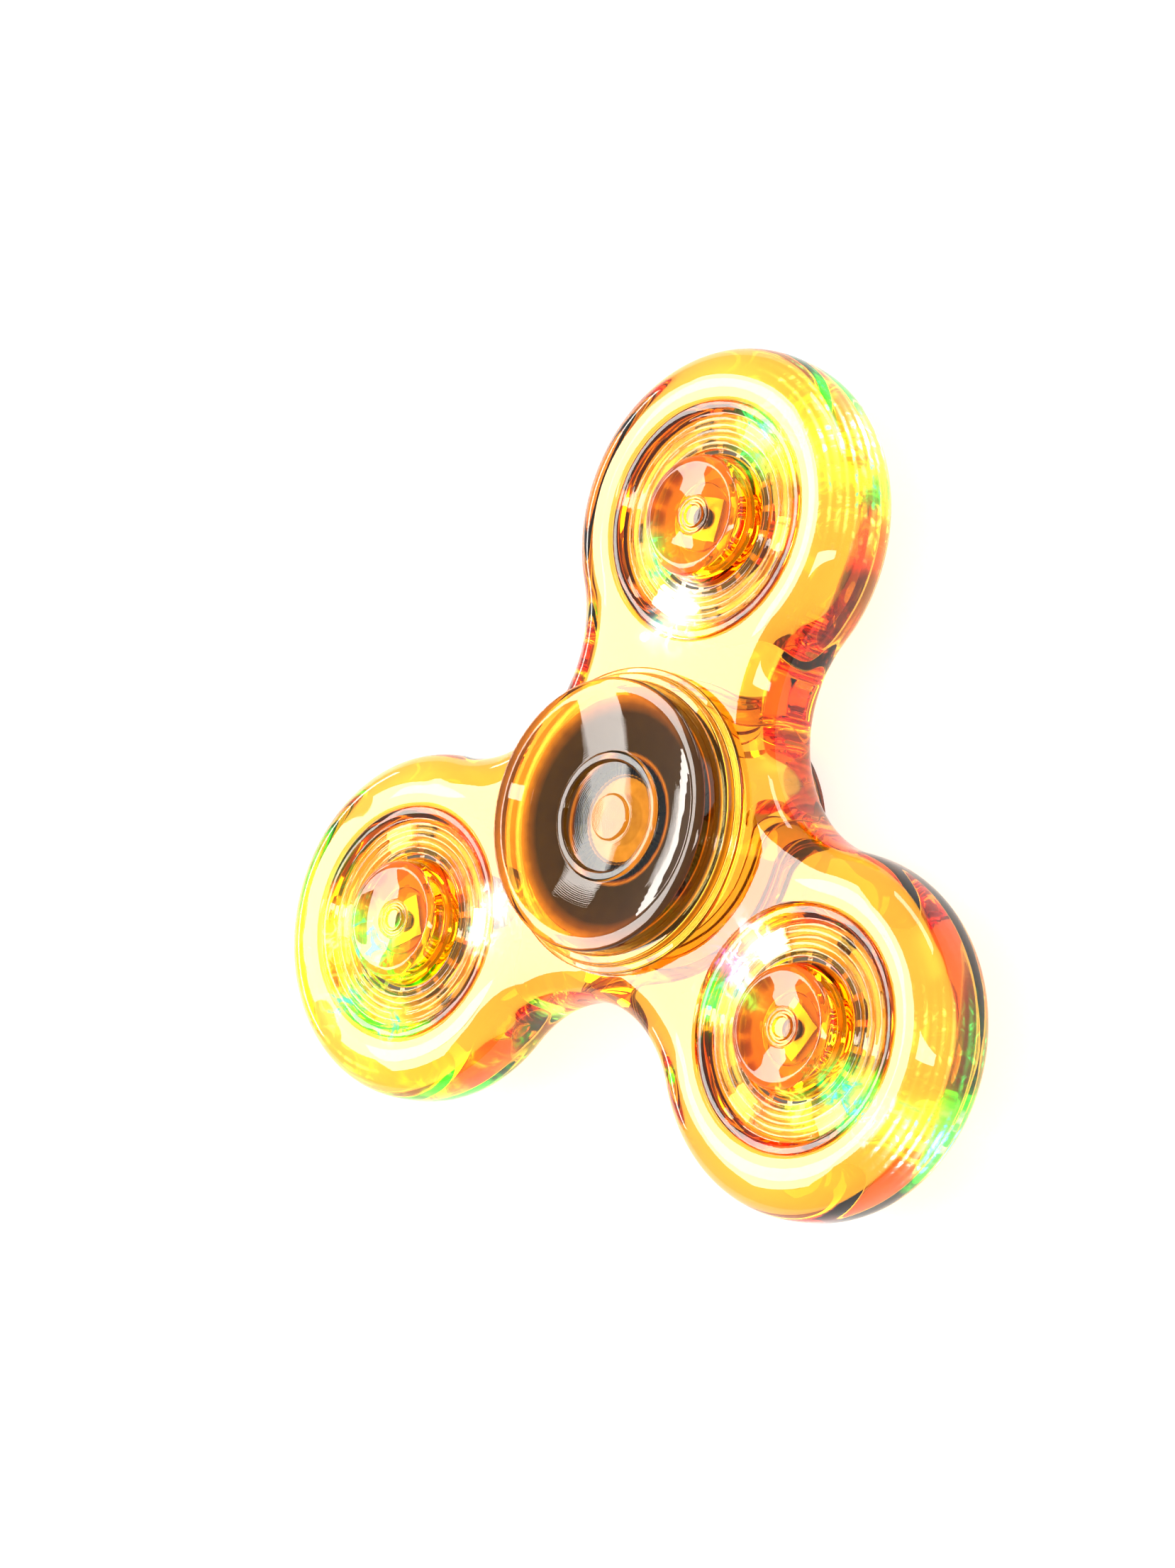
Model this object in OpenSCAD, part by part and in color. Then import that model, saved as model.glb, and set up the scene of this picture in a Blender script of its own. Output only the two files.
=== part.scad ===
// Light-up three-lobe fidget spinner: clear moulded body, ball bearing, finger caps
// and three button-operated light pods. Millimetres. The spin axis is Z and the
// origin is the middle of the bearing. Pod 1 lies towards +Y.

/* [Body] */
// Distance from the spin axis to the middle of each pod
pod_distance = 26; // [25:0.5:34]
// Radius of each round lobe
lobe_r = 15.2; // [14:0.1:18]
// Radius of the hollow waist between two lobes
waist_r = 10.8; // [9:0.1:13]
// Thickness of the moulded body
body_t = 8; // [7.6:0.1:10]
// Radius of the body's rounded edges
edge_r = 3; // [1:0.1:3.5]

/* [Bearing] */
// Bore radius of the standard bearing
bearing_bore_r = 4; // [3.5:0.1:4.8]
// Outer radius of the standard bearing
bearing_r = 11; // [10.5:0.1:11.5]
// Width of the standard bearing
bearing_w = 7; // [6:0.1:7.4]
// Radius of one bearing ball
ball_r = 1.985; // [1.6:0.005:2.1]
// Number of balls in the bearing
ball_count = 7; // [5:1:8]
// Height of each ring's shoulder beside its raceway groove
shoulder_h = 0.6; // [0.4:0.05:0.7]
// Thickness of each bearing shield
shield_t = 0.3; // [0.2:0.05:0.4]

/* [Finger caps] */
// Radius of a cap's base
cap_base_r = 12.9; // [12.5:0.1:15]
// Radius of a cap's upper step
cap_step_r = 12.3; // [12:0.1:12.4]
// Radius of a cap's top
cap_top_r = 11.5; // [9.5:0.1:11.9]
// Height of a cap's rim above the body face
cap_rise = 4.2; // [3.2:0.1:6]
// Height of the cap's base step
cap_base_h = 0.55; // [0.4:0.05:0.8]
// Height of the cap's upper step
cap_step_h = 0.9; // [0.6:0.05:1.1]
// Depth of the finger dish
dish_depth = 2; // [1:0.1:2.2]
// Radius of the raised ring in the dish
dish_ring_r = 5.5; // [4.6:0.1:7]
// Radius of the flat disc in the middle of the dish
dish_flat_r = 1.9; // [1.2:0.1:3]
// Radius of the foot that stands on the bearing's inner ring
cap_foot_r = 5.5; // [5:0.1:5.8]
// Radius of the snap pin on the back cap
snap_pin_r = 2.5; // [1.8:0.1:2.8]

/* [Pods] */
// Radius of the well that takes a pod
well_r = 10.2; // [10.1:0.05:12.5]
// Width of the lip that stops the pod at the back
well_lip = 1.6; // [1.3:0.1:2.2]
// Thickness of that lip
lip_t = 0.5; // [0.4:0.05:0.6]
// Wall of the pod cup
cup_wall = 1; // [0.8:0.05:1.1]
// Thickness of the cup's floor above the lip
cup_floor_t = 0.5; // [0.4:0.05:0.6]
// Width of the cover's flat rim
cover_rim_w = 0.7; // [0.5:0.1:0.9]
// Thickness of the dished part of the cover
cover_t = 0.6; // [0.5:0.05:0.65]
// Depth from the body face down to the cover's inner edge
cover_sink = 0.35; // [0.25:0.05:0.4]

/* [Button] */
// Radius of the button where it leaves the cover
button_r = 5.6; // [4.8:0.05:5.7]
// Radius of the button's shoulder
button_shoulder_r = 5.2; // [4.2:0.1:5.4]
// Height of the button's top above the body face
button_rise = 1.85; // [1.4:0.05:2.6]
// How far the button travels when it is pressed
button_travel = 0.35; // [0.2:0.05:0.4]
// Thickness of the flange that holds the button under the cover
flange_t = 0.4; // [0.3:0.05:0.45]
// Radius of the small ring on the button's top
nub_r = 1.1; // [0.8:0.1:1.2]
// Radius of the larger ring round it
nub_ring_r = 1.6; // [1.5:0.1:2.2]

/* [Electronics] */
// Radius of a button cell
cell_r = 5.8; // [4.8:0.1:6.2]
// Height of a button cell
cell_h = 2.1; // [1.6:0.05:2.12]
// Thickness of the circuit board
board_t = 0.6; // [0.5:0.05:0.65]
// Distance from a pod's middle to each light
led_distance = 8; // [7.9:0.05:8.1]
// Side of the square switch case
switch_w = 4; // [3.4:0.1:4.4]
// Height of the switch case
switch_h = 0.5; // [0.4:0.05:0.6]
// Radius of the switch plunger
plunger_r = 1; // [0.7:0.1:1.3]
// Thickness of the sheet metal contacts
contact_t = 0.2; // [0.15:0.05:0.25]

/* [Clearances] */
// Radial gap between a ball and its groove
running_gap = 0.06; // [0.04:0.01:0.1]
// Radial gap between pieces that are pressed or snapped together
seat_gap = 0.05; // [0.02:0.01:0.08]
// Gap around a piece that moves freely
free_gap = 0.35; // [0.3:0.05:0.4]

/* [Hidden] */
$fn = 96;

lobes = 3;
lobe_step = 360 / lobes;
first_pod_angle = 90;
face_z = body_t / 2;
cut = 1;
// Steps along a lobe's arc, along a waist's arc and round an edge
lobe_steps = 28;
waist_steps = 10;
edge_steps = 3;
edge_overrun = 0.2;

// The waist circle touches both neighbouring lobe circles. Where the lobes stand far apart it grows,
// so that it still reaches them both.
waist_room = 3.2;
waist_fit_r = max(waist_r, pod_distance * sin(lobe_step / 2) - lobe_r + waist_room);
waist_distance = pod_distance * cos(lobe_step / 2)
    + sqrt(pow(waist_fit_r + lobe_r, 2) - pow(pod_distance * sin(lobe_step / 2), 2));

// Bearing
pitch_r = (bearing_r + bearing_bore_r) / 2;
groove_r = ball_r + running_gap;
inner_ring_r = pitch_r - groove_r + shoulder_h;
outer_ring_in_r = pitch_r + groove_r - shoulder_h;
shield_step = 0.35;
shield_r = outer_ring_in_r + shield_step;
shield_sink = 0.25;
shield_z = bearing_w / 2 - shield_sink - shield_t;
cage_half_h = groove_r + 0.35;
cage_half_w = 0.65;

// Finger caps
cap_top_z = face_z + cap_rise;
cap_base_z = face_z + free_gap + 0.1;
cap_round = 0.6;
crest_r = cap_top_r - cap_round - 0.5;
dish_sphere_r = (pow(crest_r, 2) + pow(dish_depth, 2)) / (2 * dish_depth);
dish_floor_z = cap_top_z - dish_depth;
dish_ring_w = 0.9;
dish_ring_z = dish_floor_z + dish_sphere_r - sqrt(pow(dish_sphere_r, 2) - pow(dish_ring_r, 2)) + 0.25;
dish_flat_z = dish_floor_z + 0.3;
sleeve_r = bearing_bore_r - seat_gap;
sleeve_end_z = -bearing_w / 2 + 0.5;
snap_hole_r = snap_pin_r + seat_gap;
snap_top_z = bearing_w / 2 - 0.6;
hub_bore_r = bearing_r + seat_gap;

// Pods, from the back face upwards
cup_r = well_r - seat_gap;
cup_in_r = cup_r - cup_wall;
lip_r = well_r - well_lip;
cup_seat_z = -face_z + lip_t;
cup_floor_z = cup_seat_z + cup_floor_t;
cell_lower_z = cup_floor_z + contact_t;
cell_upper_z = cell_lower_z + cell_h;
clip_z = cell_upper_z + cell_h;
board_z = clip_z + contact_t;
board_top_z = board_z + board_t;
board_r = cup_in_r - seat_gap;
pocket_r = cell_r + 0.15;
pocket_wall = 0.8;
rib_r = 0.8;
rib_gap = 0.15;
rib_angles = [60, 225];
clip_r = cell_r - 0.9;
clip_tab = [0.9, 2.0];
plate_r = cell_r - 1.3;
plate_hole_r = 1.2;
plate_slot_w = 0.8;

// Cover and button
cover_top_z = face_z - 0.1;
cover_edge_z = face_z - cover_sink;
button_hole_r = button_r + free_gap;
flange_r = button_hole_r + 0.6;
flange_top_z = cover_edge_z - cover_t - seat_gap;
flange_low_z = flange_top_z - flange_t;
button_top_z = face_z + button_rise;
button_round = 0.8;
nub_w = 0.3;
nub_h = 0.2;
nub_ring_h = 0.1;
press_gap = 0.1;
switch_top_z = board_top_z + switch_h;
switch_hole_r = plunger_r + press_gap;
plunger_low_z = board_top_z + button_travel + press_gap / 2;
button_roof_z = switch_top_z + button_travel + press_gap;
button_recess_r = switch_w / sqrt(2) + free_gap;

// Lights and small parts, as angles round the pod from its outward side
green_angle = -20;
red_angle = -90;
blue_angle = 160;
led_size = [1.8, 2.8, 0.6];
led_lens_r = 0.75;
led_lens_h = 0.15;
blob_angle = 105;
blob_r = 0.9;
blob_h = 0.55;
resistor_size = [0.8, 1.6, 0.45];
resistor_angles = [25, 195, 250];

module at_pod(n)
{
    rotate([0, 0, first_pod_angle + lobe_step * (n - 1)])
        translate([pod_distance, 0, 0])
            children();
}

module on_board(angle)
{
    rotate([0, 0, angle])
        translate([led_distance, 0, board_top_z])
            children();
}

module disc(r, z, h)
{
    translate([0, 0, z]) cylinder(r = r, h = h);
}

module tube(outer_r, inner_r, z, h)
{
    difference() {
        disc(outer_r, z, h);
        disc(inner_r, z - cut, h + 2 * cut);
    }
}

module block(size, z)
{
    translate([-size[0] / 2, -size[1] / 2, z]) cube(size);
}

// ---- Body ----

// Lobe arcs and waist arcs meet where the line between their middles crosses both
waist_turn = atan2(waist_distance * sin(lobe_step / 2),
                   waist_distance * cos(lobe_step / 2) - pod_distance);
// Half of the angle that a waist's arc takes up
waist_half = waist_turn - lobe_step / 2;

function polar(r, angle) = [r * cos(angle), r * sin(angle)];

// Points of the outline, moved inwards by inset: for each lobe its round arc, then its waist
function outline(inset) = [
    for (k = [0:lobes - 1])
        let (lobe_angle = first_pod_angle + lobe_step * k,
             waist_angle = lobe_angle + lobe_step / 2,
             lobe_middle = polar(pod_distance, lobe_angle),
             waist_middle = polar(waist_distance, waist_angle))
        each concat(
            [for (i = [0:lobe_steps - 1])
                lobe_middle + polar(lobe_r - inset, lobe_angle - waist_turn + 2 * waist_turn * i / lobe_steps)],
            [for (i = [0:waist_steps - 1])
                waist_middle + polar(waist_fit_r + inset, waist_angle + waist_half * (1 - 2 * i / waist_steps) - 180)]
        )
];

// Solid with that outline and round edges: rings of points stacked from the back to the front.
// The end rings lie past the flat faces, which rounded_slab() cuts in one plane each.
module tall_slab()
{
    round = [for (i = [0:edge_steps])
        let (a = 90 * i / edge_steps)
        [edge_r * (1 - sin(a)), face_z - edge_r + edge_r * cos(a)]];
    overrun = round[0] + edge_overrun * (round[0] - round[1]);
    section = concat([overrun], [for (i = [1:edge_steps]) round[i]]);
    rings = concat([for (p = section) [p[0], -p[1]]],
                   [for (i = [edge_steps:-1:0]) section[i]]);
    count = len(outline(0));
    last = len(rings) - 1;
    points = [for (ring = rings) each [for (p = outline(ring[0])) [p[0], p[1], ring[1]]]];
    walls = [for (j = [0:last - 1], i = [0:count - 1])
        let (next = (i + 1) % count)
        each [
            [j * count + i, (j + 1) * count + i, (j + 1) * count + next],
            [j * count + i, (j + 1) * count + next, j * count + next]
        ]];
    back = [for (i = [0:count - 1]) i];
    front = [for (i = [count - 1:-1:0]) last * count + i];
    polyhedron(points, concat(walls, [back, front]));
}

module rounded_slab()
{
    reach = 2 * (pod_distance + lobe_r + cut);
    intersection() {
        tall_slab();
        block([reach, reach, body_t], -face_z);
    }
}

module spinner_body()
{
    color([1, 0.68, 0.05, 0.55])
    difference() {
        rounded_slab();
        disc(hub_bore_r, -face_z - cut, body_t + 2 * cut);
        for (n = [1:lobes]) at_pod(n) {
            disc(well_r, cup_seat_z, body_t + cut);
            disc(lip_r, -face_z - cut, body_t);
        }
    }
}

// ---- Bearing ----

module groove()
{
    rotate_extrude() translate([pitch_r, 0]) circle(r = groove_r);
}

module bearing_outer_ring()
{
    color([0.55, 0.55, 0.5])
    difference() {
        tube(bearing_r, outer_ring_in_r, -bearing_w / 2, bearing_w);
        groove();
        for (turn = [0, 180])
            rotate([turn, 0, 0]) disc(shield_r + seat_gap, shield_z, bearing_w);
    }
}

module bearing_inner_ring()
{
    color([0.6, 0.6, 0.55])
    difference() {
        tube(inner_ring_r, bearing_bore_r, -bearing_w / 2, bearing_w);
        groove();
    }
}

module bearing_balls()
{
    color("silver")
    for (k = [0:ball_count - 1])
        rotate([0, 0, 360 / ball_count * k])
            translate([pitch_r, 0, 0])
                sphere(r = ball_r);
}

module bearing_cage()
{
    color([0.75, 0.72, 0.62])
    difference() {
        tube(pitch_r + cage_half_w, pitch_r - cage_half_w, -cage_half_h, 2 * cage_half_h);
        for (k = [0:ball_count - 1])
            rotate([0, 0, 360 / ball_count * k])
                translate([pitch_r, 0, 0])
                    sphere(r = groove_r);
    }
}

module bearing_shield_front()
{
    color([0.5, 0.5, 0.45])
    tube(shield_r, inner_ring_r + free_gap, shield_z, shield_t);
}

module bearing_shield_back()
{
    color([0.5, 0.5, 0.45])
    rotate([180, 0, 0]) tube(shield_r, inner_ring_r + free_gap, shield_z, shield_t);
}

// ---- Finger caps ----

module cap_top()
{
    difference() {
        union() {
            disc(cap_foot_r, bearing_w / 2, cap_base_z - bearing_w / 2 + cut);
            disc(cap_base_r, cap_base_z, cap_base_h);
            disc(cap_step_r, cap_base_z, cap_base_h + cap_step_h);
            disc(cap_top_r, cap_base_z, cap_top_z - cap_base_z - cap_round);
            disc(cap_top_r - cap_round, cap_base_z, cap_top_z - cap_base_z);
            translate([0, 0, cap_top_z - cap_round])
                rotate_extrude() translate([cap_top_r - cap_round, 0]) circle(r = cap_round);
        }
        translate([0, 0, dish_floor_z + dish_sphere_r]) sphere(r = dish_sphere_r);
    }
    tube(dish_ring_r, dish_ring_r - dish_ring_w, cap_base_z + cap_base_h,
         dish_ring_z - cap_base_z - cap_base_h);
    disc(dish_flat_r, cap_base_z + cap_base_h, dish_flat_z - cap_base_z - cap_base_h);
}

module finger_cap_front()
{
    color([0.95, 0.72, 0.15, 0.5]) {
        cap_top();
        difference() {
            disc(sleeve_r, sleeve_end_z, bearing_w / 2 - sleeve_end_z + cut / 2);
            disc(snap_hole_r, sleeve_end_z - cut, snap_top_z - sleeve_end_z + 2 * cut);
        }
    }
}

module finger_cap_back()
{
    color([0.95, 0.72, 0.15, 0.5]) {
        rotate([180, 0, 0]) cap_top();
        disc(snap_pin_r, -bearing_w / 2 - cut / 2, snap_top_z + bearing_w / 2 + cut / 2);
    }
}

// ---- Pods ----

module pod_cup(n)
{
    color([1, 0.7, 0.1, 0.45])
    at_pod(n) {
        tube(cup_r, cup_in_r, cup_seat_z, board_top_z - cup_seat_z);
        disc(cup_in_r + cup_wall / 2, cup_seat_z, cup_floor_t);
        disc(lip_r - seat_gap, -face_z, lip_t + cup_floor_t / 2);
        tube(pocket_r + pocket_wall, pocket_r, cup_floor_z - cup_floor_t / 2,
             board_z - cup_floor_z + cup_floor_t / 2);
        for (angle = rib_angles)
            rotate([0, 0, angle])
                translate([cup_in_r, 0, 0])
                    intersection() {
                        disc(rib_r, cup_floor_z - cup_floor_t / 2, board_top_z - cup_floor_z);
                        translate([-cup_in_r, 0, 0])
                            disc(cup_in_r + cup_wall / 2, cup_floor_z - cut, body_t);
                    }
    }
}

module pod_cover(n)
{
    rim_in_r = cup_r - cover_rim_w;
    color([1, 0.75, 0.15, 0.45])
    at_pod(n)
        rotate_extrude()
            polygon([
                [cup_in_r, board_top_z],
                [cup_r, board_top_z],
                [cup_r, cover_top_z],
                [rim_in_r, cover_top_z],
                [rim_in_r - cover_rim_w / 2, cover_edge_z],
                [button_hole_r, cover_edge_z],
                [button_hole_r, cover_edge_z - cover_t],
                [cup_in_r, cover_edge_z - cover_t]
            ]);
}

module push_button(n)
{
    shoulder_z = button_top_z - button_round;
    color([1, 0.8, 0.2, 0.45])
    at_pod(n) {
        rotate_extrude() {
            polygon([
                [0, button_roof_z],
                [button_recess_r, button_roof_z],
                [button_recess_r, flange_low_z],
                [flange_r, flange_low_z],
                [flange_r, flange_top_z],
                [button_r, flange_top_z],
                [button_shoulder_r, shoulder_z],
                [button_shoulder_r - button_round, button_top_z],
                [0, button_top_z]
            ]);
            translate([button_shoulder_r - button_round, shoulder_z]) circle(r = button_round);
        }
        tube(nub_r, nub_r - nub_w, button_top_z - nub_h, 2 * nub_h);
        tube(nub_ring_r, nub_ring_r - nub_w, button_top_z - nub_h, nub_h + nub_ring_h);
    }
}

module switch_plunger(n)
{
    color([0.12, 0.1, 0.1])
    at_pod(n) disc(plunger_r, plunger_low_z, button_roof_z - plunger_low_z);
}

module switch_case(n)
{
    color([0.75, 0.75, 0.72])
    at_pod(n)
        difference() {
            block([switch_w, switch_w, switch_h], board_top_z);
            disc(switch_hole_r, board_top_z - cut, switch_h + 2 * cut);
        }
}

module circuit_board(n)
{
    color([0.45, 0.5, 0.4])
    at_pod(n)
        difference() {
            disc(board_r, board_z, board_t);
            for (angle = rib_angles)
                rotate([0, 0, angle])
                    translate([cup_in_r, 0, 0])
                        disc(rib_r + rib_gap, board_z - cut, board_t + 2 * cut);
        }
}

module led(n, angle)
{
    at_pod(n) on_board(angle) {
        block(led_size, 0);
        disc(led_lens_r, 0, led_size[2] + led_lens_h);
    }
}

module led_green(n)
{
    color("lime") led(n, green_angle);
}

module led_red(n)
{
    color("red") led(n, red_angle);
}

module led_blue(n)
{
    color("deepskyblue") led(n, blue_angle);
}

module controller_blob(n)
{
    dome_r = (pow(blob_r, 2) + pow(blob_h, 2)) / (2 * blob_h);
    color([0.08, 0.08, 0.08])
    at_pod(n) on_board(blob_angle)
        intersection() {
            translate([0, 0, blob_h - dome_r]) sphere(r = dome_r);
            disc(blob_r + cut, 0, blob_h + cut);
        }
}

module chip_resistors(n)
{
    color([0.2, 0.18, 0.16])
    at_pod(n)
        for (angle = resistor_angles) on_board(angle) block(resistor_size, 0);
}

module cell_upper(n)
{
    color([0.8, 0.8, 0.78]) at_pod(n) disc(cell_r, cell_upper_z, cell_h);
}

module cell_lower(n)
{
    color([0.8, 0.8, 0.78]) at_pod(n) disc(cell_r, cell_lower_z, cell_h);
}

module contact_plate(n)
{
    color([0.85, 0.75, 0.45])
    at_pod(n)
        difference() {
            disc(plate_r, cup_floor_z, contact_t);
            disc(plate_hole_r, cup_floor_z - cut, contact_t + 2 * cut);
            for (angle = [0:120:240])
                rotate([0, 0, angle])
                    translate([plate_r / 2, -plate_slot_w / 2, cup_floor_z - cut])
                        cube([plate_r, plate_slot_w, contact_t + 2 * cut]);
        }
}

module battery_clip(n)
{
    color([0.85, 0.75, 0.45])
    at_pod(n) {
        disc(clip_r, clip_z, contact_t);
        translate([clip_r - clip_tab[0], -clip_tab[1] / 2, clip_z])
            cube([2 * clip_tab[0], clip_tab[1], contact_t]);
    }
}

spinner_body();
bearing_outer_ring();
bearing_inner_ring();
bearing_cage();
bearing_balls();
bearing_shield_front();
bearing_shield_back();
finger_cap_front();
finger_cap_back();
pod_cup(1);  // pod_cup_1
pod_cup(2);  // pod_cup_2
pod_cup(3);  // pod_cup_3
pod_cover(1);  // pod_cover_1
pod_cover(2);  // pod_cover_2
pod_cover(3);  // pod_cover_3
push_button(1);  // push_button_1
push_button(2);  // push_button_2
push_button(3);  // push_button_3
switch_plunger(1);  // switch_plunger_1
switch_plunger(2);  // switch_plunger_2
switch_plunger(3);  // switch_plunger_3
switch_case(1);  // switch_case_1
switch_case(2);  // switch_case_2
switch_case(3);  // switch_case_3
circuit_board(1);  // circuit_board_1
circuit_board(2);  // circuit_board_2
circuit_board(3);  // circuit_board_3
led_green(1);  // led_green_1
led_green(2);  // led_green_2
led_green(3);  // led_green_3
led_red(1);  // led_red_1
led_red(2);  // led_red_2
led_red(3);  // led_red_3
led_blue(1);  // led_blue_1
led_blue(2);  // led_blue_2
led_blue(3);  // led_blue_3
controller_blob(1);  // controller_blob_1
controller_blob(2);  // controller_blob_2
controller_blob(3);  // controller_blob_3
chip_resistors(1);  // chip_resistors_1
chip_resistors(2);  // chip_resistors_2
chip_resistors(3);  // chip_resistors_3
cell_upper(1);  // cell_upper_1
cell_upper(2);  // cell_upper_2
cell_upper(3);  // cell_upper_3
cell_lower(1);  // cell_lower_1
cell_lower(2);  // cell_lower_2
cell_lower(3);  // cell_lower_3
contact_plate(1);  // contact_plate_1
contact_plate(2);  // contact_plate_2
contact_plate(3);  // contact_plate_3
battery_clip(1);  // battery_clip_1
battery_clip(2);  // battery_clip_2
battery_clip(3);  // battery_clip_3
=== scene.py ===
# %% [markdown]
# # A clear spinner with lights
# The object is a hand-held spinner: a clear amber body with three lobes turns round a ball bearing, between
# two clear finger caps. Each lobe holds a pod with a push button, a circuit board, lights and button cells.
# The CAD model gives every size and place. Here each visible piece gets its real surface and finish.

import bmesh
import bpy
import numpy as np
from mathutils import Matrix, Vector
from mathutils.geometry import delaunay_2d_cdt


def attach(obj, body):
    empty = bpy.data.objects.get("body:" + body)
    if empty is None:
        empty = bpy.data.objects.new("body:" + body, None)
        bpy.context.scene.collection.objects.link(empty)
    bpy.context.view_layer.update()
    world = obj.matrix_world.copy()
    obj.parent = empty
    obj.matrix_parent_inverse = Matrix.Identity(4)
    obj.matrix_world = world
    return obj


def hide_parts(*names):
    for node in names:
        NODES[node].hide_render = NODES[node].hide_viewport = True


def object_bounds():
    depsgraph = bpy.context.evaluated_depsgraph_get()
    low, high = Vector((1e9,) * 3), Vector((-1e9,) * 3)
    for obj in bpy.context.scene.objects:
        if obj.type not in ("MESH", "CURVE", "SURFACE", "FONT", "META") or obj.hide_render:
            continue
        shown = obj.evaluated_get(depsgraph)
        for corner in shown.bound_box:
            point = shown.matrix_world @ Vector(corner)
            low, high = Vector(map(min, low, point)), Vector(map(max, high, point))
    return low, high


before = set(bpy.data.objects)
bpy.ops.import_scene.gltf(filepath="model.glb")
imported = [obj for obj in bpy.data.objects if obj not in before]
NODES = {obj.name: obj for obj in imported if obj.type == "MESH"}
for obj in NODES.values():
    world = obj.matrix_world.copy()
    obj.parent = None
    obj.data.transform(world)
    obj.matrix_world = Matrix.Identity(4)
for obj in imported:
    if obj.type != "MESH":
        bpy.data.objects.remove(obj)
CAD_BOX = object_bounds()
MM = 0.001
print("CAD nodes:", len(NODES))

# %% [markdown]
# ## Camera
# The spinner is seen from its right and from above, turned in the picture so that one lobe points up. The
# camera is placed by its three axes, because its roll matters as much as where it stands.

# %% The camera
CAMERA_PLACE = (0.2669, 0.0005, 0.2997)
CAMERA_RIGHT = (0.7249, 0.2396, -0.6460)
CAMERA_UP = (-0.1797, 0.9709, 0.1585)
CAMERA_BACK = (0.6652, 0.0012, 0.7468)
LENS, SENSOR, SHIFT, NEAREST = 109.9, 36, (-0.0457, 0.0285), 0.01

camera_data = bpy.data.cameras.new("camera")
camera_data.lens = LENS
camera_data.sensor_width = SENSOR
camera_data.shift_x, camera_data.shift_y = SHIFT
camera_data.clip_start = NEAREST
camera = bpy.data.objects.new("camera", camera_data)
bpy.context.scene.collection.objects.link(camera)
turned = Matrix((CAMERA_RIGHT, CAMERA_UP, CAMERA_BACK)).transposed().to_4x4()
camera.matrix_world = Matrix.Translation(CAMERA_PLACE) @ turned
bpy.context.scene.camera = camera
print("camera at", CAMERA_PLACE)

# %% [markdown]
# ## Sizes
# All lengths are in millimetres, as in the part's source. Angles are in degrees, counted from +X towards
# +Y.

# %% Sizes of the body, the hub and the pods
LOBES = 3
POD_DISTANCE = 26.0
POD_ANGLES = (90.0, 210.0, 330.0)
LOBE_R, WAIST_R = 15.2, 10.8
FACE_Z = 4.0
HUB_BORE_R = 11.05
WELL_R, LIP_R, SEAT_Z = 10.2, 8.6, -3.5
WAIST_DISTANCE = 26.0
BODY = "rotor"


def on_circle(radius, angle):
    """Points at a distance from the middle: (radius cos angle, radius sin angle), with angle in degrees."""
    turn = np.radians(angle)
    return np.stack([radius * np.cos(turn), radius * np.sin(turn)], -1)


POD_MIDDLES = on_circle(POD_DISTANCE, np.array(POD_ANGLES))
print("pod middles:", POD_MIDDLES.round(1).tolist())

# %% [markdown]
# ## From arrays to meshes
# Most pieces of a spinner are turned or moulded round an axis, so one helper carries a section round a
# circle. A second helper turns arrays into a finished piece that rides on its body and stands for its CAD
# node. Large flat faces keep exact normals through a Weighted Normal modifier, so clear plastic refracts
# cleanly.

# %% Rounded sections and grids
ROUND_STEPS = 4
TURNS = 144


def rounded(corners):
    """Section with rounded corners. Each corner is (r, z, cut): the corner is replaced by the curve
    (1-u)^2 A + 2u(1-u) P + u^2 B between the points A and B that lie cut before and after the corner P."""
    corners = np.array(corners, float)
    place, cut = corners[:, :2], corners[:, 2:]
    before, after = np.roll(place, 1, 0) - place, np.roll(place, -1, 0) - place
    start = place + cut * before / np.linalg.norm(before, axis=1, keepdims=True)
    end = place + cut * after / np.linalg.norm(after, axis=1, keepdims=True)
    u = np.linspace(0, 1, ROUND_STEPS + 1)[None, :, None]
    curve = (1 - u) ** 2 * start[:, None] + 2 * u * (1 - u) * place[:, None] + u ** 2 * end[:, None]
    return curve.reshape(-1, 2)


def grid_faces(rows, columns, closed):
    """Four-sided faces between neighbouring points of a grid whose columns run round a circle."""
    row = np.arange(rows if closed else rows - 1)[:, None]
    column = np.arange(columns)[None, :]
    next_row, next_column = (row + 1) % rows, (column + 1) % columns
    quads = [row * columns + column, row * columns + next_column,
             next_row * columns + next_column, next_row * columns + column]
    return np.stack(np.broadcast_arrays(*quads), -1).reshape(-1, 4)


def rings(section, middle, turns):
    """One ring for each point of a section: (r, z) goes to (r cos a, r sin a, z) for a from 0 to 360."""
    angle = np.arange(turns) * 360 / turns
    ring = on_circle(section[:, :1], angle[None, :]) + np.asarray(middle)
    height = np.repeat(section[:, 1:], turns, 1)[..., None]
    return np.concatenate([ring, height], -1)


def revolve(section, middle=(0, 0), turns=TURNS):
    """Surface of revolution through the section's rings. A section that starts on the axis also ends there,
    and any other joins its last ring to its first."""
    section = np.asarray(section, float)
    on_axis = section[0, 0] == 0
    return rings(section, middle, turns).reshape(-1, 3), grid_faces(len(section), turns, not on_axis)


# %% [markdown]
# ## Light that the plastic catches
# The lights shine into clear plastic, and it shows their colours where it is curved or marked. A lamp that
# is a few millimetres across would need a very long render, so each glow is a soft spot of colour at its
# place, kept as a colour attribute of the mesh. It moves with its piece.

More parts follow.
